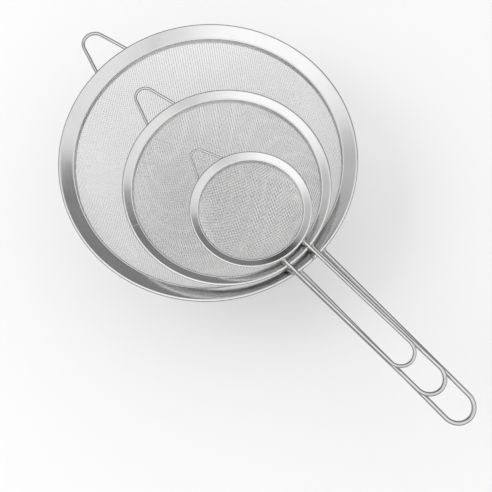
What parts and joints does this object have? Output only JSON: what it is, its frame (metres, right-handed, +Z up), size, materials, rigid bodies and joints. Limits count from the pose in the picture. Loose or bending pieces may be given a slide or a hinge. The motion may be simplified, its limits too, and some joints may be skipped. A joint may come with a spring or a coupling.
{
  "type": "nested hand strainer set",
  "caption": "Round stainless steel wire mesh hand strainers, nested mouths up, each with a flared rim, a long wire loop handle and a wire hanging ear.",
  "frame": {"origin": "middle of the flat resting spot under the large bowl", "axes": "+Z up out of the mouths, +X along the large handle, away from its bowl"},
  "size_m": [0.3651, 0.2, 0.0819],
  "materials": {
    "rim_steel": "polished",
    "mesh_steel": "drawn wire",
    "wire_steel": "polished",
    "weld_steel": "satin"
  },
  "bodies": {
    "large_strainer": {"large_rim": "rim_steel", "large_clamp_ring": "rim_steel", "large_mesh_bowl": "mesh_steel", "large_handle": "wire_steel", "large_ear": "wire_steel", "large_handle_welds": "weld_steel", "large_ear_welds": "weld_steel"},
    "medium_strainer": {"medium_rim": "rim_steel", "medium_clamp_ring": "rim_steel", "medium_mesh_bowl": "mesh_steel", "medium_handle": "wire_steel", "medium_ear": "wire_steel", "medium_handle_welds": "weld_steel", "medium_ear_welds": "weld_steel"},
    "small_strainer": {"small_rim": "rim_steel", "small_clamp_ring": "rim_steel", "small_mesh_bowl": "mesh_steel", "small_handle": "wire_steel", "small_ear": "wire_steel", "small_handle_welds": "weld_steel", "small_ear_welds": "weld_steel"}
  },
  "joints": [
    {"name": "medium_lift", "type": "slide", "parent": "large_strainer", "child": "medium_strainer", "axis": [0, 0, 1], "range_m": [0, 0.07]},
    {"name": "small_lift", "type": "slide", "parent": "medium_strainer", "child": "small_strainer", "axis": [0, 0, 1], "range_m": [0, 0.05]}
  ]
}
